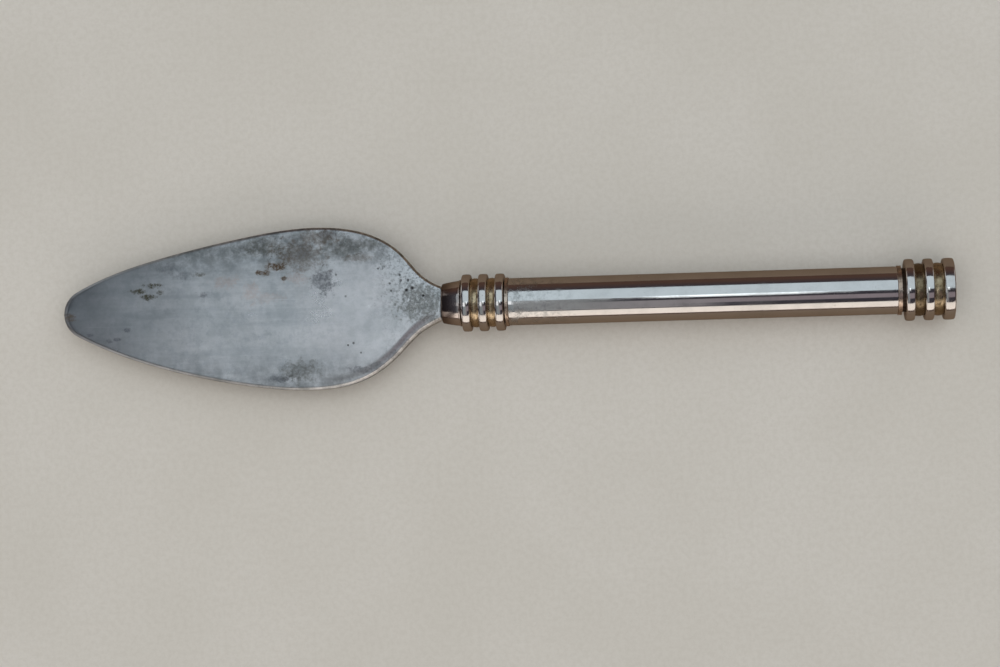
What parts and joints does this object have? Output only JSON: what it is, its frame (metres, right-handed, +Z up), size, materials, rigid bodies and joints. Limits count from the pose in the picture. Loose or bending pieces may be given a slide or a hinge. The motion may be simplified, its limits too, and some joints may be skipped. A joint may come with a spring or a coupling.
{
  "type": "palette knife",
  "caption": "Leaf-shaped flat metal blade on a straight round tubular handle, with stacked rings at the collar and the butt end, for spreading, lifting and serving soft material.",
  "frame": {"origin": "middle of the knife's length, on the handle's line, at the surface that the knife lies on", "axes": "+X along the handle from the blade's tip to the butt, +Y across the blade, +Z up out of the blade's upper face"},
  "size_m": [0.24, 0.0439, 0.0164],
  "materials": {
    "blade_plate": "worn, brushed silver plate with spots of dark tarnish",
    "handle_plate": "bright polished plate with light rubbing and fine scratches",
    "ring_plate": "bright polished plate, tarnished on the flanks",
    "bolster_plate": "polished plate, slightly dulled",
    "brass": "aged brass, darkened in the corners",
    "cement": "hard brown filler, hidden"
  },
  "bodies": {
    "root": {"blade": "blade_plate", "bolster": "bolster_plate", "collar_sleeve": "brass", "collar_ring_front": "ring_plate", "collar_ring_middle": "ring_plate", "collar_ring_rear": "ring_plate", "collar_spacer_front": "brass", "collar_spacer_rear": "brass", "handle_tube": "handle_plate", "tang_cement": "cement", "cap_plug": "brass", "cap_ring_front": "ring_plate", "cap_ring_middle": "ring_plate", "cap_ring_rear": "ring_plate", "cap_spacer_front": "brass", "cap_spacer_rear": "brass", "end_button": "ring_plate"}
  },
  "joints": []
}
